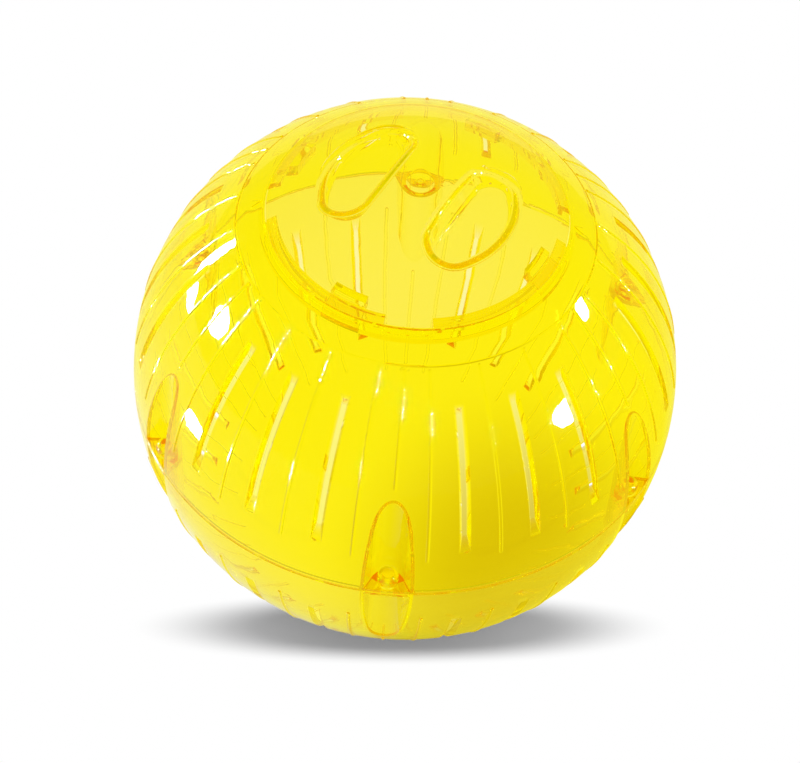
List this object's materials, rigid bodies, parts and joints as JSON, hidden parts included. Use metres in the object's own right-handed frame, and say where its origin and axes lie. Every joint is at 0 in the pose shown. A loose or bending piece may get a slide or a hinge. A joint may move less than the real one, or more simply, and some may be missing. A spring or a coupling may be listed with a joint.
{
  "type": "hamster ball",
  "caption": "Clear tinted running ball for a small pet: two vented halves that snap together at the seam and a round bayonet lid with finger wells.",
  "frame": {"origin": "centre of the ball, in the plane of the seam", "axes": "+Z out through the middle of the lid, -Y through the clip channel that faces the viewer"},
  "size_m": [0.25, 0.25, 0.25],
  "materials": {
    "tinted_plastic": "gloss"
  },
  "bodies": {
    "ball": {"upper_half": "tinted_plastic", "lower_half": "tinted_plastic"},
    "lid": {"lid": "tinted_plastic"}
  },
  "joints": [
    {"name": "lid_turn", "type": "hinge", "parent": "ball", "child": "lid", "pos_m": [0, 0, 0.11], "axis": [0, 0, 1], "range_deg": [0, 26]}
  ]
}
